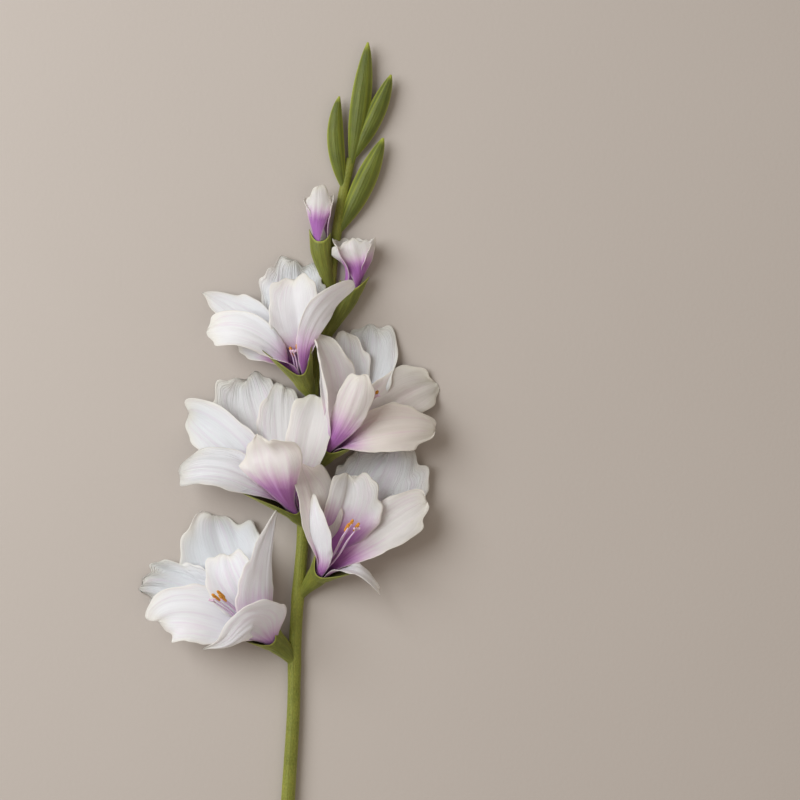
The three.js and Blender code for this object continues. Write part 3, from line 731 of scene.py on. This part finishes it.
def petal_material():
    paint = Paint("petal")
    blush, margin = paint.attribute("blush"), paint.attribute("margin")
    veins = paint.streaks(2.5, 26, 4)
    folds = paint.streaks(1.2, 7, 2)
    tinted = paint.math("MULTIPLY_ADD", paint.math("SUBTRACT", folds, 0.5), 0.4, blush)
    tinted = paint.math("MULTIPLY_ADD", paint.math("SUBTRACT", paint.cloud(45), 0.5), 0.3, tinted)
    white = paint.mix(paint.cloud(22), rgb(226, 231, 242), rgb(240, 238, 236))
    # Painted shade: a warm grey-beige mixed over each tepal's white, as strongly as its own setting
    # asks, darkens the tepals that lie in shade; the lilac base is kept out of it.
    cream = paint.math("MULTIPLY", paint.attribute("cream"), paint.math("SUBTRACT", 1.0, blush))
    white = paint.mix(cream, white, rgb(216, 203, 193))
    lilac = paint.ramp(tinted, [
        (0.0, rgb(255, 255, 255)), (0.3, rgb(246, 222, 242)), (0.62, rgb(220, 168, 216)),
        (0.92, rgb(178, 108, 180)),
    ])
    colour = paint.mix(1.0, white, lilac, "MULTIPLY")
    edge = paint.math("MULTIPLY", paint.math("POWER", margin, 12.0), 0.6)
    colour = paint.mix(edge, colour, rgb(246, 238, 216))
    faint = paint.ramp(veins, [(0.3, rgb(240, 236, 240)), (0.6, rgb(255, 255, 255))])
    colour = paint.mix(0.25, colour, faint, "MULTIPLY")
    pleats = paint.math("MULTIPLY", paint.attribute("pleats"), margin)
    pleated = paint.math("MULTIPLY", veins, paint.math("MULTIPLY_ADD", pleats, 1.0, 0.05))
    height = paint.math("MULTIPLY_ADD", folds, 0.15, pleated)
    roughness = paint.math("MULTIPLY_ADD", folds, 0.15, 0.45)
    return paint.finish(
        colour, roughness, height, 0.0009,
        Subsurface_Weight=0.5, Subsurface_Radius=(1, 0.85, 0.9), Subsurface_Scale=0.004,
        Sheen_Weight=0.12, Specular_IOR_Level=0.25,
    )


def green_material(name, deep, light, edge, along_count):
    paint = Paint(name)
    pale, inside = paint.attribute("pale"), paint.attribute("inside")
    fibres = paint.streaks(along_count, 14, 4)
    fuzz = paint.cloud(900, 2)
    patches = paint.math("MULTIPLY_ADD", paint.cloud(60), 0.5, paint.math("MULTIPLY", fibres, 0.5))
    colour = paint.ramp(patches, [(0.3, deep), (0.68, light)])
    colour = paint.mix(pale, colour, edge)
    # Painted shade: the inner wall of each bract's cup is painted dark olive-brown, for the shade that
    # falls inside the cup.
    colour = paint.mix(inside, colour, rgb(58, 52, 24))
    colour = paint.mix(paint.attribute("cut"), colour, rgb(188, 186, 128))
    height = paint.math("MULTIPLY_ADD", fibres, 0.7, paint.math("MULTIPLY", fuzz, 0.3))
    roughness = paint.math("MULTIPLY_ADD", fuzz, 0.2, 0.45)
    return paint.finish(
        colour, roughness, height, 0.0005,
        Sheen_Weight=0.45, Sheen_Tint=rgb(214, 218, 130), Subsurface_Weight=0.08,
        Subsurface_Scale=0.002, Specular_IOR_Level=0.35,
    )


def pollen_material():
    paint = Paint("pollen")
    pollen = paint.attribute("pollen")
    grains = paint.cloud(1600, 2)
    yellow = paint.ramp(grains, [(0.35, rgb(176, 104, 22)), (0.65, rgb(236, 170, 52))])
    filament = paint.mix(paint.cloud(150), rgb(232, 212, 230), rgb(206, 168, 204))
    colour = paint.mix(pollen, filament, yellow)
    return paint.finish(colour, paint.math("MULTIPLY_ADD", grains, 0.2, 0.5), grains, 0.0003,
                        Subsurface_Weight=0.1, Subsurface_Scale=0.001)


def table_material():
    paint = Paint("table_top")
    colour = paint.mix(paint.cloud(3), rgb(181, 172, 163), rgb(187, 178, 169))
    return paint.finish(colour, paint.math("MULTIPLY_ADD", paint.cloud(40), 0.1, 0.7),
                        paint.cloud(400), 0.0001, Specular_IOR_Level=0.2)


# The scene


def add_table():
    half_side, lines = 4.0, 24
    edge = np.linspace(-half_side, half_side, lines)
    x, y = np.meshgrid(edge, edge)
    mesh = bpy.data.meshes.new("table_top")
    points = np.stack([x, y, np.zeros_like(x)], axis=-1).reshape(-1, 3)
    mesh.from_pydata(points.tolist(), [], grid_faces(lines, lines))
    mesh.materials.append(table_material())
    top = bpy.data.objects.new("table_top", mesh)
    bpy.context.collection.objects.link(top)
    top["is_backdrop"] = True


def add_light(name, place, target, size, power, colour):
    light = bpy.data.lights.new(name, "AREA")
    light.shape = "DISK"
    light.size = size
    light.energy = power
    light.color = colour[:3]
    holder = bpy.data.objects.new(name, light)
    holder.location = place
    holder.rotation_euler = looking(place, target)
    bpy.context.collection.objects.link(holder)


def looking(place, target):
    """The turn that points a light or camera from one place at another, with +Y kept upwards."""
    from_place = np.subtract(place, target)
    across = math.hypot(*from_place[:2])
    tilt = math.atan2(across, from_place[2])
    turn = math.atan2(from_place[0], -from_place[1]) if across > 1e-6 else 0
    return tilt, 0, turn


def add_camera():
    """Straight above the spike, which it sees with empty table to its right and its cut end left
    out below."""
    view_centre = np.array([72.8, 370, 4]) * MM + PLANT_ORIGIN
    distance, field = 1.5, 0.52
    camera = bpy.data.cameras.new("camera")
    camera.sensor_width = 36
    camera.lens = camera.sensor_width * distance / field
    holder = bpy.data.objects.new("camera", camera)
    holder.location = view_centre + UP * distance
    bpy.context.collection.objects.link(holder)
    bpy.context.scene.camera = holder


def add_world(colour, strength):
    world = bpy.data.worlds.new("studio")
    world.use_nodes = True
    background = world.node_tree.nodes["Background"]
    background.inputs["Color"].default_value = colour
    background.inputs["Strength"].default_value = strength
    bpy.context.scene.world = world


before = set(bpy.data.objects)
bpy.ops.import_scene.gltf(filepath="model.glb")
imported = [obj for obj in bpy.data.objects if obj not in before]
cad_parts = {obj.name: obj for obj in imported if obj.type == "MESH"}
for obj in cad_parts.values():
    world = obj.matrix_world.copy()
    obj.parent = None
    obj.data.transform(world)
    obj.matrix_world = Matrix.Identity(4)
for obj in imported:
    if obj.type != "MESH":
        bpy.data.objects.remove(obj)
cad_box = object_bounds()

# The plant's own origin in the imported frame, from the ring of points at the stem's cut end
stem_points = np.array([tuple(point.co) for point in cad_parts["stem"].data.vertices])
at_the_cut = stem_points[stem_points[:, 1] < stem_points[:, 1].min() + 1 * MM]
cut_middle = (at_the_cut.min(axis=0) + at_the_cut.max(axis=0)) / 2
PLANT_ORIGIN = cut_middle - np.array(CUT_END) * MM

PETAL = petal_material()
STEM_GREEN = green_material("stem_green", rgb(96, 102, 28), rgb(140, 142, 56), rgb(196, 198, 112), 60)
BRACT_GREEN = green_material("bract_green", rgb(80, 86, 26), rgb(122, 126, 46), rgb(160, 166, 74), 3)
BUD_GREEN = green_material("bud_green", rgb(66, 76, 18), rgb(104, 112, 34), rgb(164, 172, 62), 3)
POLLEN = pollen_material()

add_stem()
tepals_made = 0
for name, flower in {**FLOWERS, **OPENING_BUDS}.items():
    for i, part in enumerate(flower.tepals, start=1):
        tepals_made += 1
        add_tepal(f"{name}_tepal_{i}", flower, part, seed=tepals_made)
    add_bract(f"{name}_bract", flower)
for name, flower in FLOWERS.items():
    add_stamens(f"{name}_stamens", flower)
for name, bud in CLOSED_BUDS.items():
    add_closed_bud(name, **bud)

add_table()
add_camera()
CENTRE = (0, 0, 0.02)
add_light("key", (-1.15, 0.6, 1.35), CENTRE, 1.6, 38, rgb(246, 250, 255))
add_light("fill", (0.9, -0.6, 1.8), CENTRE, 1.6, 3, rgb(255, 240, 226))
add_world(rgb(222, 212, 202), 0.5)
bpy.context.scene.view_settings.view_transform = "Standard"

boxes = {"cad": cad_box, "visual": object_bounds()}
sizes = {key: [list(corner) for corner in box] for key, box in boxes.items()}
